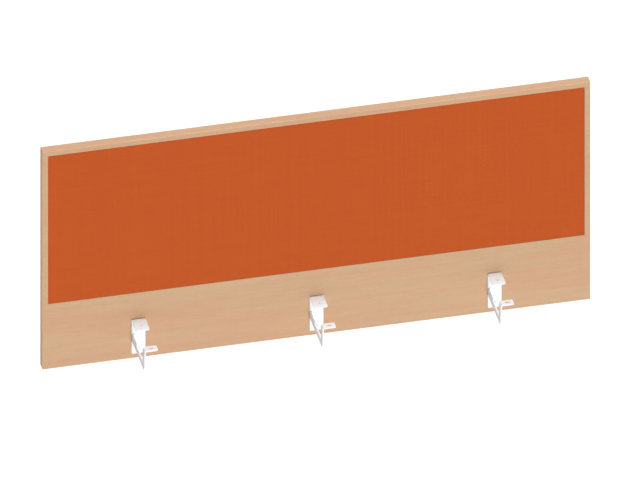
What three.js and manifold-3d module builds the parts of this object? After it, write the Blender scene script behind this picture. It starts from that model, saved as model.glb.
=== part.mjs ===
// Desk privacy panel. A beech laminate board has an upholstered pad let into the user's side. Three
// folded steel brackets hang it from the back edge of a desk: the desktop rests on each bracket's
// flange and paddle, and is screwed to them from below.
//
// Millimetres. X runs along the panel, -Y points at the user and +Z is up. The origin is the centre
// of the middle bracket's flange, on its top face, so the desktop's underside is the plane z = 0.

import * as THREE from "three";
import { mergeVertices } from "three/addons/utils/BufferGeometryUtils.js";
import Module from "manifold-3d";

const wasm = await Module();
wasm.setup();

// ---- Driving dimensions ----

const GAP = 0.3; // left between pieces that touch
const MARGIN = 1; // how far a cutting solid runs past what it cuts
const ARC_STEPS = 6; // half the number of flats on a fold or a rounded corner
const ROUND_STEPS = 12; // half the number of flats on a full circle

const PANEL = {
  width: 1600,
  height: 750,
  thickness: 28,
  band: 2, // thickness of the edge bands
  belowDesk: 135, // from the desktop's underside to the panel's lower edge
};

const PAD = {
  width: 1566,
  height: 509,
  topMargin: 17, // board that shows above the pad
  proud: 1, // how far the fabric stands out of the board
  fabric: 1,
  foam: 3.7,
  backing: 3,
  hem: 45, // fabric turned in behind the backing board
};

const BRACKET = {
  spacing: 520,
  sheet: 4,
  foldRadius: 1, // inside the folds beside the panel
  paddleFoldRadius: 4, // inside the fold between the upright and the paddle
  width: 40,
  plateHeight: 117,
  flangeDepth: 60, // from the panel's face to the flange's front edge
  reach: 167, // from the panel's face to the paddle's front edge
  armTop: 52, // below the flange's top face
  armBottom: 72,
  paddleDepth: 23,
  cornerRadius: 4,
  toeRadius: 18, // where the arm's lower edge turns up into the upright
  relief: 2, // width of the notch above and below the arm's fold
};

const FLANGE_HOLE = { diameter: 6.5, forward: 10 }; // forward of the flange's centre
const PADDLE_SLOT = { length: 14, width: 6.5, fromEdge: 22 }; // its centre, from the folded edge

const SCREW = {
  below: { upper: 32, lower: 102 }, // below the desktop's underside
  shank: 5,
  length: 16, // under the head
  tipChamfer: 0.6,
  head: 9.5,
  headHeight: 2.8,
  headRim: 0.8,
  headFlat: 5.2,
  socket: 3, // across the flats
  socketDepth: 1.7,
  plateHole: 5.8,
};

const INSERT = { outer: 8, bore: 5.6, length: 12, ridges: 5, ridgeDepth: 0.5 };

// ---- Places worked out from them ----

const panelFront = BRACKET.flangeDepth / 2;
const panelBack = panelFront + PANEL.thickness;
const panelBottom = -PANEL.belowDesk;
const panelTop = panelBottom + PANEL.height;
const panelSide = PANEL.width / 2;

const padTop = panelTop - PAD.topMargin;
const padBottom = padTop - PAD.height;
const padSide = PAD.width / 2;

// The pad's layers, from the user's side: fabric, foam, backing board, turned-in fabric, pocket floor.
const fabricFront = panelFront - PAD.proud;
const foamFront = fabricFront + PAD.fabric + GAP;
const backingFront = foamFront + PAD.foam + GAP;
const hemFront = backingFront + PAD.backing + GAP;
const hemBack = hemFront + PAD.fabric;
const pocketFloor = hemBack + GAP;

const plateBack = panelFront - GAP;
const plateFront = plateBack - BRACKET.sheet;
const foldedEdge = -BRACKET.width / 2; // the side of the bracket that the arm is folded from
const paddleFront = panelFront - BRACKET.reach;
const paddleBack = paddleFront + BRACKET.paddleDepth;

const X = new THREE.Vector3(1, 0, 0);
const Y = new THREE.Vector3(0, 1, 0);
const Z = new THREE.Vector3(0, 0, 1);
const forward = Y.clone().negate();
const left = X.clone().negate();

// ---- Finishes ----

const FINISH = {
  board: { color: 0xd8b48e, roughness: 0.5, metalness: 0 },
  band: { color: 0xd9b28d, roughness: 0.45, metalness: 0 },
  fabric: { color: 0xc55b2b, roughness: 0.95, metalness: 0 },
  foam: { color: 0x5a5a5c, roughness: 1, metalness: 0 },
  backing: { color: 0x7a5638, roughness: 0.8, metalness: 0 },
  bracket: { color: 0xf4f4f4, roughness: 0.4, metalness: 0 },
  screw: { color: 0xf0f0f0, roughness: 0.35, metalness: 0 },
  insert: { color: 0xb59a5c, roughness: 0.4, metalness: 1 },
};

// ---- Solids ----

function solidOf(geometry) {
  geometry.deleteAttribute("normal");
  geometry.deleteAttribute("uv");
  const merged = mergeVertices(geometry, 1e-3);
  const vertProperties = merged.attributes.position.array;
  const triVerts = new Uint32Array(merged.index.array);
  return new wasm.Manifold(new wasm.Mesh({ numProp: 3, vertProperties, triVerts }));
}

function geometryOf(solid) {
  const mesh = solid.getMesh();
  const geometry = new THREE.BufferGeometry();
  geometry.setAttribute("position", new THREE.BufferAttribute(mesh.vertProperties, 3));
  geometry.setIndex(new THREE.BufferAttribute(mesh.triVerts, 1));
  const faceted = geometry.toNonIndexed();
  faceted.computeVertexNormals();
  return faceted;
}

// A block between two opposite corners.
function block(low, high) {
  const size = high.map((value, axis) => value - low[axis]);
  const centre = high.map((value, axis) => (value + low[axis]) / 2);
  return solidOf(new THREE.BoxGeometry(...size).translate(...centre));
}

// The solid that a flat outline sweeps: the outline's own axes lie along u and v, and it moves
// along u x v from its start.
function swept(outline, u, v, start, depth, curveSegments = ARC_STEPS) {
  const along = new THREE.Vector3().crossVectors(u, v);
  const place = new THREE.Matrix4().makeBasis(u, v, along).setPosition(...start);
  const options = { depth, curveSegments, bevelEnabled: false };
  return solidOf(new THREE.ExtrudeGeometry(outline, options).applyMatrix4(place));
}

// ---- Outlines ----

// The section of a sheet with one fold. The folded corner would be at (0, 0) if it were sharp: one
// leg runs along +u under it, and the other along -v beside it.
function foldedSection(legU, legV, foldRadius) {
  const outer = foldRadius + BRACKET.sheet;
  const outline = new THREE.Shape();
  outline.moveTo(legU, 0);
  outline.lineTo(outer, 0);
  outline.absarc(outer, -outer, outer, Math.PI / 2, Math.PI, false);
  outline.lineTo(0, -legV);
  outline.lineTo(BRACKET.sheet, -legV);
  outline.absarc(outer, -outer, foldRadius, Math.PI, Math.PI / 2, true);
  outline.lineTo(legU, -BRACKET.sheet);
  outline.closePath();
  return outline;
}

// What rounding takes off a corner at (0, 0) whose sides run along +u and +v.
function cornerWaste(radius) {
  const outline = new THREE.Shape();
  outline.moveTo(-MARGIN, -MARGIN);
  outline.lineTo(radius, -MARGIN);
  outline.absarc(radius, radius, radius, -Math.PI / 2, Math.PI, true);
  outline.lineTo(-MARGIN, radius);
  outline.closePath();
  return outline;
}

function disc(diameter) {
  return new THREE.Shape().absarc(0, 0, diameter / 2, 0, 2 * Math.PI, false);
}

function slotOutline(length, width) {
  const straight = (length - width) / 2;
  const outline = new THREE.Shape();
  outline.absarc(straight, 0, width / 2, -Math.PI / 2, Math.PI / 2, false);
  outline.absarc(-straight, 0, width / 2, Math.PI / 2, (3 * Math.PI) / 2, false);
  outline.closePath();
  return outline;
}

// ---- Board and edge bands ----

const bracketPlaces = {
  left: -BRACKET.spacing,
  centre: 0,
  right: BRACKET.spacing,
};

function coreBoard() {
  const inset = PANEL.band + GAP;
  const pocketSide = padSide + GAP;
  let board = block(
    [-panelSide + inset, panelFront, panelBottom + inset],
    [panelSide - inset, panelBack, panelTop - inset],
  );
  const pocket = block(
    [-pocketSide, panelFront - MARGIN, padBottom - GAP],
    [pocketSide, pocketFloor, padTop + GAP],
  );
  board = board.subtract(pocket);
  const holeDepth = INSERT.length + 2 * GAP;
  for (const x of Object.values(bracketPlaces)) {
    for (const below of Object.values(SCREW.below)) {
      const start = [x, panelFront + holeDepth, -below];
      const hole = swept(disc(INSERT.outer + 2 * GAP), X, Z, start, holeDepth + MARGIN, ROUND_STEPS);
      board = board.subtract(hole);
    }
  }
  return board;
}

// The long bands run the panel's full width, and the end bands stand between them.
function edgeBands() {
  const sideBottom = panelBottom + PANEL.band + GAP;
  const sideTop = panelTop - PANEL.band - GAP;
  return {
    top: block(
      [-panelSide, panelFront, panelTop - PANEL.band],
      [panelSide, panelBack, panelTop],
    ),
    bottom: block(
      [-panelSide, panelFront, panelBottom],
      [panelSide, panelBack, panelBottom + PANEL.band],
    ),
    left: block(
      [-panelSide, panelFront, sideBottom],
      [-panelSide + PANEL.band, panelBack, sideTop],
    ),
    right: block(
      [panelSide - PANEL.band, panelFront, sideBottom],
      [panelSide, panelBack, sideTop],
    ),
  };
}

// ---- Upholstered pad ----

// A layer of the pad, set in from the pad's outline all round.
function padLayer(inset, front, back) {
  return block(
    [-padSide + inset, front, padBottom + inset],
    [padSide - inset, back, padTop - inset],
  );
}

function fabricCover() {
  const wrapped = padLayer(0, fabricFront, hemBack);
  const inside = padLayer(PAD.fabric, fabricFront + PAD.fabric, hemFront);
  const openBack = padLayer(PAD.hem, hemFront - MARGIN, hemBack + MARGIN);
  return wrapped.subtract(inside).subtract(openBack);
}

// ---- Folded bracket ----

function bracketSheet() {
  const hook = swept(
    foldedSection(BRACKET.flangeDepth - GAP, BRACKET.plateHeight, BRACKET.foldRadius),
    forward,
    Z,
    [BRACKET.width / 2, plateBack, 0],
    BRACKET.width,
  );
  const notchSide = foldedEdge + BRACKET.sheet + BRACKET.foldRadius + MARGIN;
  const notch = block(
    [foldedEdge - MARGIN, plateFront - MARGIN, -BRACKET.armBottom - BRACKET.relief],
    [notchSide, plateBack + MARGIN, -BRACKET.armTop + BRACKET.relief],
  );
  const arm = swept(
    foldedSection(BRACKET.width / 2, BRACKET.reach - GAP, BRACKET.foldRadius),
    X,
    Y,
    [foldedEdge, plateBack, -BRACKET.armBottom],
    BRACKET.armBottom - BRACKET.armTop,
  );
  const paddle = swept(
    foldedSection(BRACKET.width, BRACKET.armBottom, BRACKET.paddleFoldRadius),
    X,
    Z,
    [foldedEdge, paddleBack, 0],
    BRACKET.paddleDepth,
  );
  // What rounding would take off fills the inner corner between the arm and the upright.
  const fillet = swept(
    cornerWaste(BRACKET.cornerRadius),
    Y,
    Z,
    [foldedEdge, paddleBack, -BRACKET.armTop],
    BRACKET.sheet,
  );
  return hook.subtract(notch).add(arm).add(paddle).add(fillet);
}

// The free corners of the sheet: where each is, the two directions its sides run in, and its radius.
function freeCorners() {
  const rightEdge = BRACKET.width / 2;
  const flangeFront = -BRACKET.flangeDepth / 2;
  const radius = BRACKET.cornerRadius;
  return [
    [[foldedEdge, flangeFront, 0], X, Y, radius],
    [[rightEdge, flangeFront, 0], left, Y, radius],
    [[foldedEdge, plateBack, -BRACKET.plateHeight], X, Z, radius],
    [[rightEdge, plateBack, -BRACKET.plateHeight], left, Z, radius],
    [[rightEdge, paddleFront, 0], left, Y, radius],
    [[rightEdge, paddleBack, 0], left, forward, radius],
    [[foldedEdge, paddleFront, -BRACKET.armBottom], Y, Z, BRACKET.toeRadius],
  ];
}

function bracket() {
  let sheet = bracketSheet();
  const cut = 4 * BRACKET.sheet;
  for (const [corner, u, v, radius] of freeCorners()) {
    const along = new THREE.Vector3().crossVectors(u, v);
    const start = new THREE.Vector3(...corner).addScaledVector(along, -cut / 2);
    const steps = radius > BRACKET.cornerRadius ? 2 * ARC_STEPS : ARC_STEPS;
    sheet = sheet.subtract(swept(cornerWaste(radius), u, v, start.toArray(), cut, steps));
  }
  const holeStart = [0, -FLANGE_HOLE.forward, -cut / 2];
  sheet = sheet.subtract(swept(disc(FLANGE_HOLE.diameter), X, Y, holeStart, cut, ROUND_STEPS));
  const slot = slotOutline(PADDLE_SLOT.length, PADDLE_SLOT.width);
  const slotX = foldedEdge + PADDLE_SLOT.fromEdge;
  const slotStart = [slotX, (paddleFront + paddleBack) / 2, -cut / 2];
  sheet = sheet.subtract(swept(slot, X, Y, slotStart, cut, ROUND_STEPS / 2));
  for (const below of Object.values(SCREW.below)) {
    const start = [0, plateBack + MARGIN, -below];
    const depth = BRACKET.sheet + 2 * MARGIN;
    sheet = sheet.subtract(swept(disc(SCREW.plateHole), X, Z, start, depth, ROUND_STEPS));
  }
  return sheet;
}

// ---- Screws and inserts, on the Y axis with the head towards the user ----

function revolved(profile) {
  const points = profile.map(([radius, y]) => new THREE.Vector2(radius, y));
  return solidOf(new THREE.LatheGeometry(points, 2 * ROUND_STEPS));
}

function screw() {
  const underHead = plateFront - GAP;
  const headTop = underHead - SCREW.headHeight;
  const tip = underHead + SCREW.length;
  const profile = [[0, headTop]];
  const domeSteps = 5;
  for (let step = 0; step <= domeSteps; step++) {
    const angle = (step / domeSteps) * (Math.PI / 2);
    const spread = (SCREW.head - SCREW.headFlat) / 2;
    const rise = SCREW.headHeight - SCREW.headRim;
    const radius = SCREW.headFlat / 2 + spread * Math.sin(angle);
    profile.push([radius, headTop + rise * (1 - Math.cos(angle))]);
  }
  profile.push([SCREW.head / 2, underHead]);
  profile.push([SCREW.shank / 2, underHead]);
  profile.push([SCREW.shank / 2, tip - SCREW.tipChamfer]);
  profile.push([SCREW.shank / 2 - SCREW.tipChamfer, tip]);
  profile.push([0, tip]);
  const socketRadius = SCREW.socket / Math.sqrt(3);
  const socketLength = 2 * SCREW.socketDepth;
  const socket = new THREE.CylinderGeometry(socketRadius, socketRadius, socketLength, 6);
  return revolved(profile).subtract(solidOf(socket.translate(0, headTop, 0)));
}

function insert() {
  const front = panelFront + GAP;
  const pitch = INSERT.length / INSERT.ridges;
  const outer = INSERT.outer / 2;
  const profile = [[INSERT.bore / 2, front]];
  for (let ridge = 0; ridge < INSERT.ridges; ridge++) {
    const start = front + ridge * pitch;
    profile.push([outer - INSERT.ridgeDepth, start]);
    profile.push([outer, start + pitch / 2]);
  }
  profile.push([outer - INSERT.ridgeDepth, front + INSERT.length]);
  profile.push([INSERT.bore / 2, front + INSERT.length]);
  profile.push([INSERT.bore / 2, front]);
  return revolved(profile);
}

// ---- Assembly ----

const part = new THREE.Group();
part.name = "desk_privacy_panel";

function addPiece(name, solid, finish, position = [0, 0, 0]) {
  const mesh = new THREE.Mesh(geometryOf(solid), new THREE.MeshStandardMaterial(finish));
  mesh.name = name;
  mesh.position.set(...position);
  part.add(mesh);
}

addPiece("panel_core_board", coreBoard(), FINISH.board);
for (const [edge, solid] of Object.entries(edgeBands())) {
  addPiece(`edge_band_${edge}`, solid, FINISH.band);
}

addPiece("pad_fabric_cover", fabricCover(), FINISH.fabric);
const coreInset = PAD.fabric + GAP;
addPiece("pad_foam", padLayer(coreInset, foamFront, foamFront + PAD.foam), FINISH.foam);
addPiece(
  "pad_backing_board",
  padLayer(coreInset, backingFront, backingFront + PAD.backing),
  FINISH.backing,
);

for (const [side, x] of Object.entries(bracketPlaces)) {
  addPiece(`bracket_${side}`, bracket(), FINISH.bracket, [x, 0, 0]);
  for (const [level, below] of Object.entries(SCREW.below)) {
    addPiece(`screw_${level}_${side}`, screw(), FINISH.screw, [x, 0, -below]);
    addPiece(`insert_${level}_${side}`, insert(), FINISH.insert, [x, 0, -below]);
  }
}

export default part;
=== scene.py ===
"""Looks for the desk privacy panel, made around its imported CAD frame.

Metres, in the row frame: X runs along the panel, -Y points at the user and +Z is up. The
desktop's underside is the plane z = 0.
"""

import math

import bmesh
import bpy
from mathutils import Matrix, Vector, noise


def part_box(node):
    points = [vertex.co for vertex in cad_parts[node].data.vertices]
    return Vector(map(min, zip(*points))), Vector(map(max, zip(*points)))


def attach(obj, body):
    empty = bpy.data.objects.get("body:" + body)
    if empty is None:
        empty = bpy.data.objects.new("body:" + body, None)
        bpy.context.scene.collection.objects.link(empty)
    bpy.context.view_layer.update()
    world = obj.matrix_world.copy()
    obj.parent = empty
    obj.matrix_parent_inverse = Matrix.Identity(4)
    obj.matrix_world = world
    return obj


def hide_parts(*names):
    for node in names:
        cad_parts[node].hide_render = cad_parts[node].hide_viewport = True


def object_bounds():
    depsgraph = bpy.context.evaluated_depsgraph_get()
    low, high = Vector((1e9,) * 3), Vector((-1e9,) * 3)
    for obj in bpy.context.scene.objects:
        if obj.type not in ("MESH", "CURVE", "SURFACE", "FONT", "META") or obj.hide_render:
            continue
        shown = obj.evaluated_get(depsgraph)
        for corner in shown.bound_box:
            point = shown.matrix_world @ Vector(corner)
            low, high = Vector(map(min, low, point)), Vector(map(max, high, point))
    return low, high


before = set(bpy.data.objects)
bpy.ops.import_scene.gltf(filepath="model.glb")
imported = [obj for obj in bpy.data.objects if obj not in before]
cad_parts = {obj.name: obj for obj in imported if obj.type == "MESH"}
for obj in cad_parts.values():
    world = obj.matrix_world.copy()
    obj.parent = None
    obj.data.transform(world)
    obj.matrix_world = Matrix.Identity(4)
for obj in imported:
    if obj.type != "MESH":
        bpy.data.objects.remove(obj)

MM = 0.001
BODY = "root"

cad_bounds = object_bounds()
board_low, board_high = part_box("panel_core_board")
cover_low, cover_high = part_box("pad_fabric_cover")
foam_low, foam_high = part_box("pad_foam")

EDGES = ("top", "bottom", "left", "right")
SIDES = ("left", "centre", "right")
LEVELS = ("upper", "lower")


# ---- Materials ----

NOISE_LOW = 0.3
NOISE_HIGH = 0.7


class Shader:
    """A procedural material on the Principled shader, with short calls for its nodes."""

    def __init__(self, name, **constants):
        self.material = bpy.data.materials.new(name)
        self.material.use_nodes = True
        self.tree = self.material.node_tree
        self.tree.nodes.clear()
        self.principled = self.node("ShaderNodeBsdfPrincipled")
        output = self.node("ShaderNodeOutputMaterial")
        self.tree.links.new(self.principled.outputs[0], output.inputs[0])
        self.position = self.node("ShaderNodeTexCoord").outputs["Object"]
        for socket, value in constants.items():
            self.principled.inputs[socket.replace("_", " ")].default_value = value

    def node(self, kind):
        return self.tree.nodes.new(kind)

    def put(self, value, socket):
        """Links a socket, or sets a plain number or colour."""
        if isinstance(value, bpy.types.NodeSocket):
            self.tree.links.new(value, socket)
        elif socket.type == "VECTOR":
            socket.default_value = value[:3]
        else:
            socket.default_value = value

    def stretched(self, scale, shift=(0, 0, 0)):
        """The position in the row frame, scaled along each axis: cells per metre."""
        mapping = self.node("ShaderNodeMapping")
        self.put(self.position, mapping.inputs["Vector"])
        self.put(scale, mapping.inputs["Scale"])
        self.put(shift, mapping.inputs["Location"])
        return mapping.outputs[0]

    def noise(self, scale, detail=2, roughness=0.5, distortion=0, shift=(0, 0, 0)):
        texture = self.node("ShaderNodeTexNoise")
        self.put(self.stretched(scale, shift), texture.inputs["Vector"])
        self.put(1, texture.inputs["Scale"])
        self.put(detail, texture.inputs["Detail"])
        self.put(roughness, texture.inputs["Roughness"])
        self.put(distortion, texture.inputs["Distortion"])
        return texture.outputs["Fac"]

    def cells(self, scale, shift=(0, 0, 0)):
        """Distance to the nearest cell's centre, and a random number for that cell."""
        texture = self.node("ShaderNodeTexVoronoi")
        self.put(self.stretched(scale, shift), texture.inputs["Vector"])
        self.put(1, texture.inputs["Scale"])
        split = self.node("ShaderNodeSeparateColor")
        self.put(texture.outputs["Color"], split.inputs[0])
        return texture.outputs["Distance"], split.outputs[0]

    def math(self, operation, a, b=0, c=0):
        node = self.node("ShaderNodeMath")
        node.operation = operation
        for socket, value in zip(node.inputs, (a, b, c)):
            self.put(value, socket)
        return node.outputs[0]

    def remap(self, value, low, high, to_low, to_high, smooth=False):
        node = self.node("ShaderNodeMapRange")
        node.interpolation_type = "SMOOTHSTEP" if smooth else "LINEAR"
        for socket, number in zip(node.inputs, (value, low, high, to_low, to_high)):
            self.put(number, socket)
        return node.outputs[0]

    def spread(self, noise_value, to_low, to_high):
        """Maps the range that most of a noise lies in."""
        return self.remap(noise_value, NOISE_LOW, NOISE_HIGH, to_low, to_high)

    def mix(self, factor, a, b):
        node = self.node("ShaderNodeMix")
        node.data_type = "RGBA"
        self.put(factor, node.inputs["Factor"])
        self.put(a, node.inputs[6])
        self.put(b, node.inputs[7])
        return node.outputs[2]

    def shade(self, colour, brightness):
        """A colour times a brightness that changes over the surface."""
        node = self.node("ShaderNodeVectorMath")
        node.operation = "SCALE"
        self.put(colour, node.inputs[0])
        self.put(brightness, node.inputs["Scale"])
        return node.outputs[0]

    def bump(self, height, distance, strength, under=None):
        node = self.node("ShaderNodeBump")
        self.put(height, node.inputs["Height"])
        self.put(distance, node.inputs["Distance"])
        self.put(strength, node.inputs["Strength"])
        if under is not None:
            self.put(under, node.inputs["Normal"])
        return node.outputs[0]

    def finish(self, **sockets):
        """Sets the shader's own inputs, and returns the material."""
        for socket, value in sockets.items():
            self.put(value, self.principled.inputs[socket.replace("_", " ")])
        return self.material


def srgb(red, green, blue):
    """A colour given in 0-255 sRGB, as the linear colour that a shader takes."""
    def linear(value):
        value /= 255
        return value / 12.92 if value <= 0.04045 else ((value + 0.055) / 1.055) ** 2.4
    return (linear(red), linear(green), linear(blue), 1.0)


def along_grain(long, across, grain):
    """A texture's scale: long cells along the grain's axis, and short ones across it."""
    return tuple(long if axis == grain else across for axis in "xyz")


def beech(name, grain, pale, warm, raw_edges=False):
    """Printed beech: soft tone bands and fine fibres along the grain, with the short dark
    flecks that beech has. grain is the axis it runs along."""
    s = Shader(name, Specular_IOR_Level=0.38)
    tone = s.noise(along_grain(2.2, 16, grain), detail=3, distortion=0.8)
    colour = s.mix(s.remap(tone, 0.36, 0.64, 0, 1, smooth=True), pale, warm)
    fibres = s.noise(along_grain(22, 620, grain), detail=3, roughness=0.6)
    bands = s.noise(along_grain(1.1, 70, grain), detail=2, shift=(3, 5, 7))
    light = s.math("ADD", s.spread(fibres, -0.035, 0.035), s.spread(bands, 0.975, 1.025))
    colour = s.shade(colour, light)

    # Small flecks lie all over, and longer faint streaks here and there.
    distance, pick = s.cells(along_grain(150, 1050, grain))
    fleck_shape = s.remap(distance, 0.16, 0.38, 1, 0, smooth=True)
    fleck = s.math("MULTIPLY", fleck_shape, s.remap(pick, 0.45, 0.8, 0, 1))
    far, chance = s.cells(along_grain(26, 250, grain), shift=(11, 2, 4))
    streak_shape = s.remap(far, 0.1, 0.5, 1, 0, smooth=True)
    streak = s.math("MULTIPLY", streak_shape, s.remap(chance, 0.7, 0.9, 0, 1))
    colour = s.mix(s.math("MULTIPLY", fleck, 0.42), colour, FLECK_BROWN)
    colour = s.mix(s.math("MULTIPLY", streak, 0.22), colour, STREAK_BROWN)

    pores = s.bump(fibres, 0.03 * MM, 0.5)
    grain_normal = s.bump(fleck, 0.04 * MM, 0.6, under=pores)
    rough = s.spread(s.noise(along_grain(60, 300, grain), detail=2), 0.54, 0.66)
    if raw_edges:
        colour = chipboard_on_edges(s, colour)
    return s.finish(Base_Color=colour, Roughness=rough, Normal=grain_normal)


def chipboard_on_edges(s, face_colour):
    """Keeps face_colour on the faces that look along Y, with bare wood chips on the rest."""
    distance, chip = s.cells((420, 900, 420))
    chips = s.mix(chip, CHIP_PALE, CHIP_DARK)
    chips = s.shade(chips, s.remap(distance, 0, 0.8, 1.1, 0.7))
    normal = s.node("ShaderNodeSeparateXYZ")
    s.put(s.tree.nodes["Texture Coordinate"].outputs["Normal"], normal.inputs[0])
    facing = s.math("GREATER_THAN", s.math("ABSOLUTE", normal.outputs["Y"]), 0.5)
    return s.mix(facing, chips, face_colour)


def upholstery(name, crest_colour, gap_shade, pitch):
    """A fine plain weave. Each thread has its own shade, which gives the cloth its faint grid."""
    s = Shader(
        name,
        Roughness=0.92,
        Specular_IOR_Level=0.2,
        Sheen_Weight=0.22,
        Sheen_Roughness=0.45,
        Sheen_Tint=CLOTH_SHEEN,
    )
    place = s.node("ShaderNodeSeparateXYZ")
    s.put(s.position, place.inputs[0])
    # The depth is added in, so that the threads run on over the rounded edges.
    warp = s.math("DIVIDE", s.math("ADD", place.outputs["X"], place.outputs["Y"]), pitch)
    weft = s.math("DIVIDE", s.math("ADD", place.outputs["Z"], place.outputs["Y"]), pitch)

    over = s.math("PINGPONG", s.math("ADD", s.math("FLOOR", warp), s.math("FLOOR", weft)), 1)
    warp_round = s.math("ABSOLUTE", s.math("SINE", s.math("MULTIPLY", warp, math.pi)))
    weft_round = s.math("ABSOLUTE", s.math("SINE", s.math("MULTIPLY", weft, math.pi)))
    warp_height = s.math("MULTIPLY", warp_round, s.math("MULTIPLY_ADD", weft_round, 0.5, 0.5))
    weft_height = s.math("MULTIPLY", weft_round, s.math("MULTIPLY_ADD", warp_round, 0.5, 0.5))
    chosen = s.node("ShaderNodeMix")
    s.put(over, chosen.inputs["Factor"])
    s.put(weft_height, chosen.inputs[2])
    s.put(warp_height, chosen.inputs[3])
    height = chosen.outputs[0]

    shade = 1.0
    for number in (warp, weft):
        thread = s.node("ShaderNodeTexWhiteNoise")
        thread.noise_dimensions = "1D"
        s.put(s.math("FLOOR", number), thread.inputs["W"])
        shade = s.math("ADD", shade, s.remap(thread.outputs["Value"], 0, 1, -0.018, 0.018))
    # Slubs: stretches where a few threads side by side are lighter or darker.
    for scale in ((240, 240, 5), (5, 240, 240)):
        slub = s.noise(scale, detail=2)
        shade = s.math("ADD", shade, s.spread(slub, -0.015, 0.015))
    # Longer streaks, mostly down the warp.
    for scale, amount in (((70, 70, 1.5), 0.009), ((1.5, 70, 70), 0.004), ((9, 9, 9), 0.003)):
        streak = s.noise(scale, detail=3)
        shade = s.math("ADD", shade, s.spread(streak, -amount, amount))

    # Painted shade: the low places of the weave, between the threads, take the darker gap colour.
    colour = s.mix(s.remap(height, 0.1, 0.75, 0, 1), gap_shade, crest_colour)
    fuzz = s.noise((4200, 4200, 4200), detail=2)
    weave = s.bump(height, 0.22 * MM, 0.6)
    shaded = s.shade(colour, shade)
    return s.finish(Base_Color=shaded, Normal=s.bump(fuzz, 0.06 * MM, 0.5, under=weave))


def powder_coat(name, colour):
    """Fine-textured satin powder: small even bumps, with a little waviness in the coat."""
    s = Shader(name, Specular_IOR_Level=0.4)
    fine = s.noise((1500, 1500, 1500), detail=2, roughness=0.55)
    wavy = s.noise((130, 130, 130), detail=1)
    shade = s.spread(s.noise((28, 28, 28), detail=2), 0.985, 1.01)
    rough = s.spread(fine, 0.46, 0.6)
    normal = s.bump(fine, 0.04 * MM, 0.45, under=s.bump(wavy, 0.15 * MM, 0.25))
    return s.finish(Base_Color=s.shade(colour, shade), Roughness=rough, Normal=normal)


def plated_metal(name, bright, dull, roughness):
    """Plated or turned metal, with cloudy dulling and fine rings round the Y axis."""
    s = Shader(name, Metallic=1.0)
    cloud = s.noise((320, 320, 320), detail=4, roughness=0.6)
    rings = s.noise((900, 5200, 900), detail=2)
    colour = s.mix(s.remap(cloud, 0.35, 0.7, 0, 1), bright, dull)
    rough = s.spread(cloud, roughness - 0.07, roughness + 0.1)
    return s.finish(Base_Color=colour, Roughness=rough, Normal=s.bump(rings, 0.02 * MM, 0.5))


def open_foam(name, colour):
    """Foam with open cells a little under a millimetre wide, and painted shade in their hollows.
    """
    s = Shader(name, Roughness=0.97, Specular_IOR_Level=0.15)
    distance, pick = s.cells((1300, 1300, 1300))
    # Painted shade: each open cell is darker towards its middle, where its hollow is.
    hollow_shade = s.remap(distance, 0, 0.7, 0.55, 1.1)
    shade = s.math("MULTIPLY", hollow_shade, s.remap(pick, 0, 1, 0.92, 1.06))
    return s.finish(Base_Color=s.shade(colour, shade), Normal=s.bump(distance, 0.3 * MM, 0.7))


def hardboard(name, colour):
    """Pressed fibres, with cloudy patches."""
    s = Shader(name, Roughness=0.8, Specular_IOR_Level=0.3)
    fibres = s.noise((520, 2600, 520), detail=5, roughness=0.7, distortion=1.5)
    blotch = s.noise((40, 40, 40), detail=3)
    shade = s.math("ADD", s.spread(fibres, -0.16, 0.16), s.spread(blotch, 0.94, 1.06))
    return s.finish(Base_Color=s.shade(colour, shade), Normal=s.bump(fibres, 0.1 * MM, 0.6))


FACE_PALE = srgb(195, 159, 124)
FACE_WARM = srgb(196, 154, 119)
LONG_BAND_PALE = srgb(217, 174, 136)
LONG_BAND_WARM = srgb(215, 169, 132)
END_BAND_PALE = srgb(217, 174, 137)
END_BAND_WARM = srgb(215, 169, 133)
FLECK_BROWN = srgb(158, 108, 74)
STREAK_BROWN = srgb(166, 122, 90)
CHIP_PALE = srgb(176, 134, 88)
CHIP_DARK = srgb(120, 84, 52)
THREAD_CREST = srgb(199, 89, 34)
# The weave's colour in its low places, darkened as painted shade between the threads.
THREAD_GAP_SHADE = srgb(160, 67, 22)
CLOTH_SHEEN = srgb(255, 176, 128)
COAT_WHITE = srgb(235, 242, 246)
FOAM_GREY = srgb(104, 104, 108)
HARDBOARD_BROWN = srgb(138, 98, 64)
BRASS_BRIGHT = srgb(212, 180, 112)
BRASS_DULL = srgb(170, 138, 78)

THREAD_PITCH = 0.9 * MM
BRASS_ROUGHNESS = 0.34

MATERIALS = {
    "face": beech("beech_laminate", "x", FACE_PALE, FACE_WARM, raw_edges=True),
    "band_along_x": beech("beech_band_along_x", "x", LONG_BAND_PALE, LONG_BAND_WARM),
    "band_along_z": beech("beech_band_along_z", "z", END_BAND_PALE, END_BAND_WARM),
    "fabric": upholstery("orange_weave", THREAD_CREST, THREAD_GAP_SHADE, THREAD_PITCH),
    "foam": open_foam("grey_foam", FOAM_GREY),
    "hardboard": hardboard("hardboard", HARDBOARD_BROWN),
    "coat": powder_coat("white_powder_coat", COAT_WHITE),
    "lacquer": powder_coat("white_lacquer", COAT_WHITE),
    "brass": plated_metal("turned_brass", BRASS_BRIGHT, BRASS_DULL, BRASS_ROUGHNESS),
}


# ---- Making pieces ----

SAME_POINT = 0.002 * MM
SAME_PLANE = math.radians(0.5)
SHARP_EDGE = math.radians(30)


def new_piece(name, mesh, material, slot, *replaced):
    """A piece of one material, which rides on the body and stands for CAD nodes."""
    piece = bpy.data.objects.new(name, mesh)
    bpy.context.scene.collection.objects.link(piece)
    mesh.materials.clear()
    mesh.materials.append(material)
    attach(piece, BODY)
    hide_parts(*replaced)
    return piece


def mesh_from(name, bm):
    """A mesh with its faces turned outwards."""
    bmesh.ops.recalc_face_normals(bm, faces=bm.faces)
    mesh = bpy.data.meshes.new(name)
    bm.to_mesh(mesh)
    bm.free()
    return mesh


def smooth_shaded(mesh):
    mesh.polygons.foreach_set("use_smooth", [True] * len(mesh.polygons))


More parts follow.
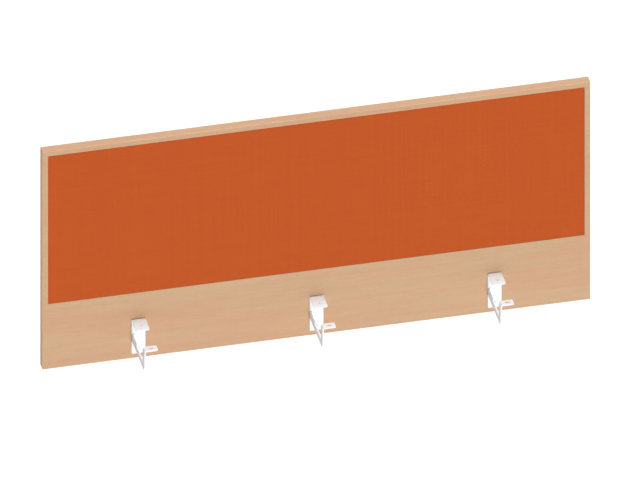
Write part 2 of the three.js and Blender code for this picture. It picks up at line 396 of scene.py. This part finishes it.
def finish_node(name, material):
    """Gives a CAD node that stays in view a material, in the object's own slot."""
    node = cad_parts[name]
    if not node.material_slots:
        node.data.materials.append(material)
    for slot in node.material_slots:
        slot.link = "OBJECT"
        slot.material = material


def keep_flats(piece):
    """Lets the large faces set the shading, so that the rounding beside them doesn't tint
    them. With a weight of 100, the largest face at each corner decides alone."""
    normals = piece.modifiers.new("flat_faces", "WEIGHTED_NORMAL")
    normals.keep_sharp = True
    normals.weight = 100


def ease_edges(piece, width, segments):
    """Rounds the sharp edges of a rigid piece."""
    smooth_shaded(piece.data)
    bevel = piece.modifiers.new("eased_edges", "BEVEL")
    bevel.limit_method = "ANGLE"
    bevel.angle_limit = SHARP_EDGE
    bevel.width = width
    bevel.segments = segments
    bevel.use_clamp_overlap = True
    keep_flats(piece)


def copy_of(node):
    """A cleaned copy of a CAD node's mesh: shared points merged, and flat faces joined up."""
    bm = bmesh.new()
    bm.from_mesh(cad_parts[node].data)
    bmesh.ops.remove_doubles(bm, verts=bm.verts, dist=SAME_POINT)
    bmesh.ops.dissolve_limit(bm, angle_limit=SAME_PLANE, verts=bm.verts, edges=bm.edges)
    return mesh_from(node + "_copy", bm)


def rounded_block(name, low, high, hidden, radius, segments):
    """A block with its visible edges rounded. hidden names the sides that lie against
    another piece, such as "+z", and the edges round those stay square."""
    bm = bmesh.new()
    bmesh.ops.create_cube(bm, size=1)
    for vert in bm.verts:
        for axis in range(3):
            vert.co[axis] = high[axis] if vert.co[axis] > 0 else low[axis]
    bm.normal_update()

    def is_hidden(face):
        axis = max(range(3), key=lambda i: abs(face.normal[i]))
        side = ("+" if face.normal[axis] > 0 else "-") + "xyz"[axis]
        return side in hidden

    shown = [e for e in bm.edges if not any(is_hidden(face) for face in e.link_faces)]
    bmesh.ops.bevel(
        bm, geom=shown, offset=radius, segments=segments, profile=0.5, affect="EDGES"
    )
    return mesh_from(name, bm)


# ---- Board and edge bands ----

BAND_RADIUS = 1.5 * MM
JOINT = 0.06 * MM  # the glue line between a band and what it is on


def edge_band(edge):
    """One band, thick enough to close the CAD's clearance down to a glue line."""
    low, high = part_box("edge_band_" + edge)
    if edge == "top":
        low.z = board_high.z + JOINT
        hidden = ("-z",)
    elif edge == "bottom":
        high.z = board_low.z - JOINT
        hidden = ("+z",)
    else:
        low.z = board_low.z
        high.z = board_high.z
        hidden = ("+x", "-z", "+z") if edge == "left" else ("-x", "-z", "+z")
    if edge == "left":
        high.x = board_low.x - JOINT
    if edge == "right":
        low.x = board_high.x + JOINT
    name = f"band_{edge}_eased"
    mesh = rounded_block(name, low, high, hidden, BAND_RADIUS, segments=5)
    material = MATERIALS["band_along_x" if edge in ("top", "bottom") else "band_along_z"]
    piece = new_piece(name, mesh, material, "beech_edge_band", "edge_band_" + edge)
    smooth_shaded(mesh)
    keep_flats(piece)


# ---- Upholstered pad ----

SKIN = 0.8 * MM  # the cloth's thickness
EDGE_RADIUS = 1.3 * MM  # where the cloth turns over the pad's edge
EDGE_STEPS = 4  # rows of faces round that turn
CROWN = 0.95 * MM  # how far the cloth stands out from where it starts
NEAR_EDGE = [0, 2 * MM, 5 * MM, 10 * MM, 18 * MM]  # rows close to the border
FAR_STEP = 12 * MM
HEM_WIDTH = 43 * MM
HEM_CLEARANCE = 0.1 * MM  # from the hem's back to the end of the cover's box
SIDE_END = 1.2 * MM  # from the hem's back to where the cloth starts to turn in

BLOWING_FRAMES = 20
QUICK_SLOPE = 4
UNEVENNESS = 0.1 * MM
UNEVEN_SCALE = 9  # per metre
EVEN_BORDER = 30 * MM  # the unevenness grows from nothing over this width
STAPLE_PITCH = 42 * MM
STAPLE_PULL = 0.1 * MM
STAPLE_REACH = 9 * MM  # how far in from the border the pull is felt

FOAM_CLEARANCE = 0.2 * MM
FOAM_RADIUS = 2 * MM


def graded(half):
    """Places from -half to half, close together near the ends."""
    inner = half - NEAR_EDGE[-1]
    count = max(2, round(2 * inner / FAR_STEP))
    middle = [-inner + 2 * inner * i / count for i in range(1, count)]
    ends = [half - step for step in NEAR_EDGE]
    return [-place for place in ends] + middle + ends[::-1]


def cover_rings(half_x, half_z, front):
    """The outlines behind the cover's front, as half sizes and a depth: round the edge, down
    the side, and in behind the backing board."""
    rings = []
    for step in range(1, EDGE_STEPS + 1):
        angle = step * math.pi / 2 / EDGE_STEPS
        out = EDGE_RADIUS * math.sin(angle)
        depth = front + EDGE_RADIUS * (1 - math.cos(angle))
        rings.append((half_x + out, half_z + out, depth))
    side_x, side_z, _ = rings[-1]
    back = cover_high.y - HEM_CLEARANCE
    rings.append((side_x, side_z, back - SIDE_END))
    hem = (
        (0.4 * MM, back - 0.3 * MM),
        (1.5 * MM, back),
        (HEM_WIDTH / 2, back),
        (HEM_WIDTH, back),
    )
    for inset, depth in hem:
        rings.append((side_x - inset, side_z - inset, depth))
    return rings


def cover_sheet(front):
    """The cover as one open sheet of cloth, before it is drawn tight. Also returns which of
    its points are free to move, and its middle and half sizes."""
    middle_x = (cover_low.x + cover_high.x) / 2
    middle_z = (cover_low.z + cover_high.z) / 2
    half_x = (cover_high.x - cover_low.x) / 2 - EDGE_RADIUS
    half_z = (cover_high.z - cover_low.z) / 2 - EDGE_RADIUS
    columns, rows = graded(half_x), graded(half_z)
    bm = bmesh.new()
    grid = [[bm.verts.new((middle_x + x, front, middle_z + z)) for x in columns] for z in rows]
    for lower, upper in zip(grid, grid[1:]):
        for i in range(len(columns) - 1):
            bm.faces.new((lower[i], lower[i + 1], upper[i + 1], upper[i]))
    border = (
        grid[0]
        + [row[-1] for row in grid[1:]]
        + grid[-1][-2::-1]
        + [row[0] for row in grid[-2:0:-1]]
    )
    previous = border
    for ring_x, ring_z, depth in cover_rings(half_x, half_z, front):
        ring = [
            bm.verts.new((
                middle_x + (vert.co.x - middle_x) * ring_x / half_x,
                depth,
                middle_z + (vert.co.z - middle_z) * ring_z / half_z,
            ))
            for vert in border
        ]
        for i in range(len(border)):
            j = (i + 1) % len(border)
            bm.faces.new((previous[j], previous[i], ring[i], ring[j]))
        previous = ring
    bm.verts.index_update()
    free = [vert.index for row in grid[1:-1] for vert in row[1:-1]]
    return mesh_from("pad_cover", bm), free, (middle_x, middle_z, half_x, half_z)


def blown(piece, free):
    """Blows the cloth out with Blender's cloth simulation, held at its border, and returns
    how far each free point moved."""
    group = piece.vertex_groups.new(name="held")
    loose = set(free)
    group.add([v.index for v in piece.data.vertices if v.index not in loose], 1.0, "REPLACE")
    cloth = piece.modifiers.new("cloth", "CLOTH")
    settings = cloth.settings
    settings.vertex_group_mass = "held"
    settings.quality = 6
    settings.mass = 0.3
    settings.tension_stiffness = 40
    settings.compression_stiffness = 40
    settings.shear_stiffness = 20
    settings.bending_stiffness = 1.5
    settings.use_pressure = True
    settings.uniform_pressure_force = 4
    settings.effector_weights.gravity = 0
    cloth.collision_settings.use_collision = False
    scene = bpy.context.scene
    for number in range(1, BLOWING_FRAMES + 1):
        scene.frame_set(number)
    shown = piece.evaluated_get(bpy.context.evaluated_depsgraph_get())
    moved = {i: shown.data.vertices[i].co.y - piece.data.vertices[i].co.y for i in free}
    piece.modifiers.remove(cloth)
    scene.frame_set(1)
    return moved


def drawn_tight(piece, free, layout):
    """The foam stops the cloth: it fills out to a flat face that falls away at the border,
    with the slight unevenness of foam and of a cloth that is stapled at intervals."""
    middle_x, middle_z, half_x, half_z = layout
    moved = blown(piece, free)
    for i in free:
        co = piece.data.vertices[i].co
        from_edge = min(half_x - abs(co.x - middle_x), half_z - abs(co.z - middle_z))
        push = abs(moved.get(i, from_edge / QUICK_SLOPE))
        rise = CROWN * (1 - math.exp(-push / CROWN))
        place = Vector((co.x * UNEVEN_SCALE, 0, co.z * UNEVEN_SCALE))
        uneven = UNEVENNESS * noise.noise(place) * min(1, from_edge / EVEN_BORDER)
        wave = math.sin((co.x + co.z) * math.tau / STAPLE_PITCH)
        pull = STAPLE_PULL * wave * math.exp(-from_edge / STAPLE_REACH)
        co.y -= rise + uneven + pull


def pad_cover():
    """The cloth round the pad, drawn tight over the foam."""
    front = cover_low.y + CROWN
    mesh, free, layout = cover_sheet(front)
    piece = new_piece("pad_cover", mesh, MATERIALS["fabric"], "orange_fabric", "pad_fabric_cover")
    drawn_tight(piece, free, layout)
    smooth_shaded(mesh)
    thickness = piece.modifiers.new("cloth_thickness", "SOLIDIFY")
    thickness.thickness = SKIN
    thickness.offset = -1
    rounder = piece.modifiers.new("smooth_cloth", "SUBSURF")
    rounder.levels = rounder.render_levels = 1


def pad_foam():
    """The foam under the cloth, pressed back a little by it and rounded at its front edges."""
    low, high = foam_low.copy(), foam_high.copy()
    low.y = cover_low.y + CROWN + SKIN + FOAM_CLEARANCE
    mesh = rounded_block("foam_pressed", low, high, ("+y",), FOAM_RADIUS, segments=4)
    piece = new_piece("foam_pressed", mesh, MATERIALS["foam"], "pad_foam", "pad_foam")


# ---- Brackets and fixings ----

COAT_EDGE = 0.5 * MM
SCREW_EDGE = 0.12 * MM


def coated_bracket(side):
    """A bracket with the eased edges of bent and powder-coated sheet."""
    node = "bracket_" + side
    mesh = copy_of(node)
    piece = new_piece(node + "_coated", mesh, MATERIALS["coat"], "white_powder_coat", node)
    ease_edges(piece, COAT_EDGE, segments=3)


def lacquered_screw(level, side):
    """A socket screw with a lacquered head."""
    node = f"screw_{level}_{side}"
    mesh = copy_of(node)
    piece = new_piece(node + "_lacquered", mesh, MATERIALS["lacquer"], "white_screw", node)
    ease_edges(piece, SCREW_EDGE, segments=2)


# ---- Floor, lights and camera ----

AZIMUTH = math.radians(-12.86)
ELEVATION = math.radians(34.4)
VIEW_WIDTH = 1.822
CAMERA_DISTANCE = 6.0
FARTHEST_SEEN = 100
# Where the middle of the board's front face lies, right of and above the view's centre.
FACE_RIGHT = -0.0105
FACE_UP = 0.0406

FLOOR_DROP = 1.0  # the panel hangs from a desk, so the floor is well below it
FLOOR_HALF_WIDTH = 30
PAPER_WHITE = srgb(244, 244, 244)
PAPER_GLOW = 0.23

ROOM_STRENGTH = 0.05
BACKDROP_STRENGTH = 1.0
# Each lamp's name, the direction it shines from, its strength, and its width in degrees.
LAMPS = (
    ("front", (0, -1, 0.06), 1.83, 4),
    ("overhead", (0, 0, 1), 2.65, 14),
    ("back", (0.4, 0.9, 0.05), 1.8, 60),
)


def stage():
    """The floor: a wide sheet of white paper with a faint cloudiness."""
    bm = bmesh.new()
    bmesh.ops.create_grid(bm, x_segments=1, y_segments=1, size=FLOOR_HALF_WIDTH)
    mesh = mesh_from("floor", bm)
    floor = bpy.data.objects.new("floor", mesh)
    floor.location.z = cad_bounds[0].z - FLOOR_DROP
    bpy.context.scene.collection.objects.link(floor)
    paper = Shader("studio_paper", Roughness=0.9, Specular_IOR_Level=0.1)
    cloudiness = paper.spread(paper.noise((3, 3, 3), detail=2), 0.985, 1.0)
    paper.principled.inputs["Emission Color"].default_value = (1, 1, 1, 1)
    paper.principled.inputs["Emission Strength"].default_value = PAPER_GLOW
    mesh.materials.append(paper.finish(Base_Color=paper.shade(PAPER_WHITE, cloudiness)))


def sun(name, towards, strength, softness):
    """A distant lamp in the direction towards. softness is its width in degrees."""
    data = bpy.data.lights.new(name, "SUN")
    data.energy = strength
    data.angle = math.radians(softness)
    lamp = bpy.data.objects.new(name, data)
    lamp.rotation_euler = Vector(towards).to_track_quat("Z", "Y").to_euler()
    bpy.context.scene.collection.objects.link(lamp)


def lights():
    """The lamps, in a dim white room. The camera itself sees the room as white paper."""
    world = bpy.data.worlds.new("studio")
    world.use_nodes = True
    tree = world.node_tree
    room = tree.nodes["Background"]
    backdrop = tree.nodes.new("ShaderNodeBackground")
    for background, strength in ((room, ROOM_STRENGTH), (backdrop, BACKDROP_STRENGTH)):
        background.inputs["Color"].default_value = (1, 1, 1, 1)
        background.inputs["Strength"].default_value = strength
    seen = tree.nodes.new("ShaderNodeLightPath")
    chosen = tree.nodes.new("ShaderNodeMixShader")
    tree.links.new(seen.outputs["Is Camera Ray"], chosen.inputs[0])
    tree.links.new(room.outputs[0], chosen.inputs[1])
    tree.links.new(backdrop.outputs[0], chosen.inputs[2])
    tree.links.new(chosen.outputs[0], tree.nodes["World Output"].inputs["Surface"])
    scene = bpy.context.scene
    scene.world = world
    scene.view_settings.view_transform = "Standard"
    for lamp in LAMPS:
        sun(*lamp)


def camera():
    """A camera with parallel rays, aimed so that the board lies as FACE_RIGHT and FACE_UP say."""
    data = bpy.data.cameras.new("camera")
    data.type = "ORTHO"
    data.ortho_scale = VIEW_WIDTH
    data.clip_end = FARTHEST_SEEN
    rig = bpy.data.objects.new("camera", data)
    flat = math.cos(ELEVATION)
    back = Vector((math.sin(AZIMUTH) * flat, -math.cos(AZIMUTH) * flat, math.sin(ELEVATION)))
    turn = back.to_track_quat("Z", "Y")
    right = turn @ Vector((1, 0, 0))
    up = turn @ Vector((0, 1, 0))
    face = Vector((
        (board_low.x + board_high.x) / 2,
        board_low.y,
        (cad_bounds[0].z + cad_bounds[1].z) / 2,
    ))
    target = face - right * FACE_RIGHT - up * FACE_UP
    rig.rotation_mode = "QUATERNION"
    rig.rotation_quaternion = turn
    rig.location = target + back * CAMERA_DISTANCE
    bpy.context.scene.collection.objects.link(rig)
    bpy.context.scene.camera = rig


# ---- The scene ----

camera()
lights()
stage()

finish_node("panel_core_board", MATERIALS["face"])
finish_node("pad_backing_board", MATERIALS["hardboard"])
for edge in EDGES:
    edge_band(edge)
pad_cover()
pad_foam()
for side in SIDES:
    coated_bracket(side)
    for level in LEVELS:
        lacquered_screw(level, side)
        finish_node(f"insert_{level}_{side}", MATERIALS["brass"])
